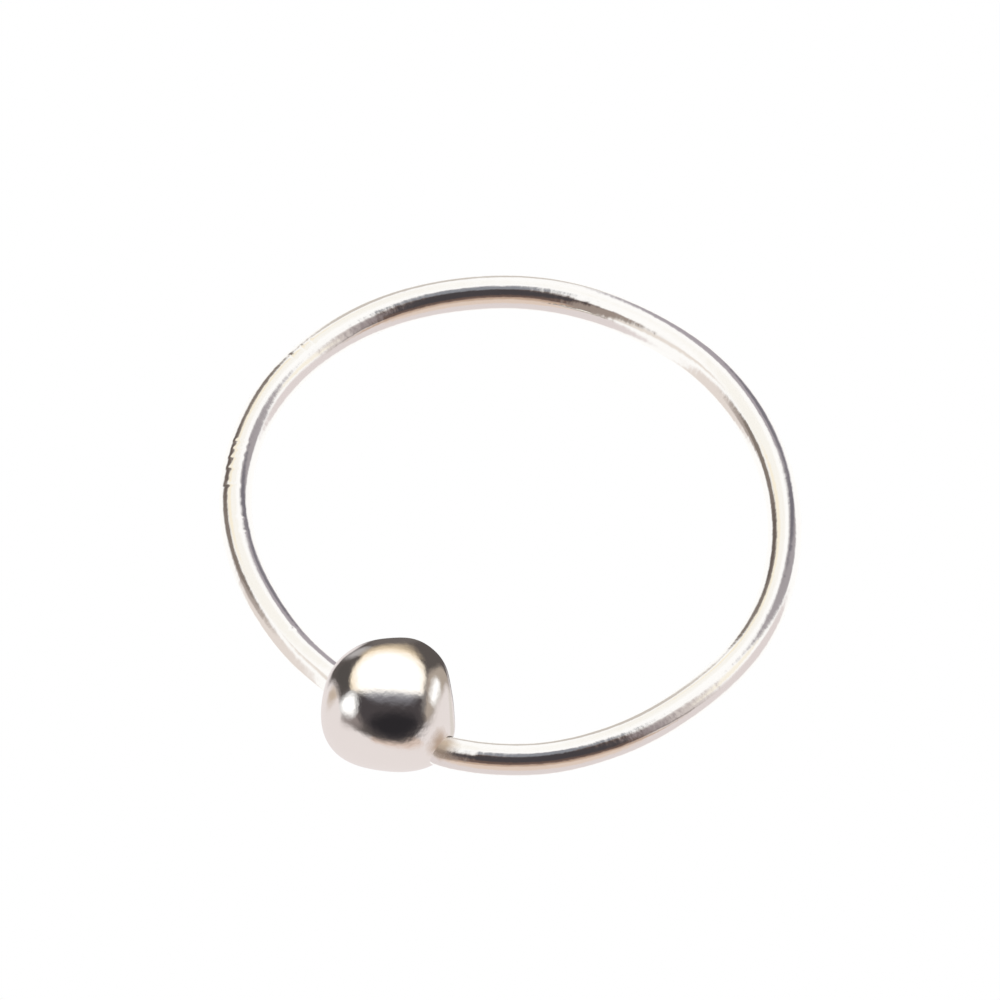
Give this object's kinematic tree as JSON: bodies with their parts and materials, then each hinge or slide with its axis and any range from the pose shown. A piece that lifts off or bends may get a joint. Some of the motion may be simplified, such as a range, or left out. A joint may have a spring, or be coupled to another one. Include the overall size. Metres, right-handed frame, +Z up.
{
  "type": "nose ring",
  "caption": "Polished silver nose ring: a thin round wire hoop closed by a drilled bead, one end soldered in, the other springing in and out.",
  "frame": {"origin": "On the ground under the middle of the ring's box.", "axes": "+Y from the bead to the far side of the hoop, +Z up, +X to the right with the bead in front."},
  "size_m": [0.0102, 0.0106, 0.0024],
  "materials": {
    "polished_silver": "sterling silver, polished bright, with faint handling dents"
  },
  "bodies": {
    "root": {"hoop_and_bead": "polished_silver"}
  },
  "joints": []
}
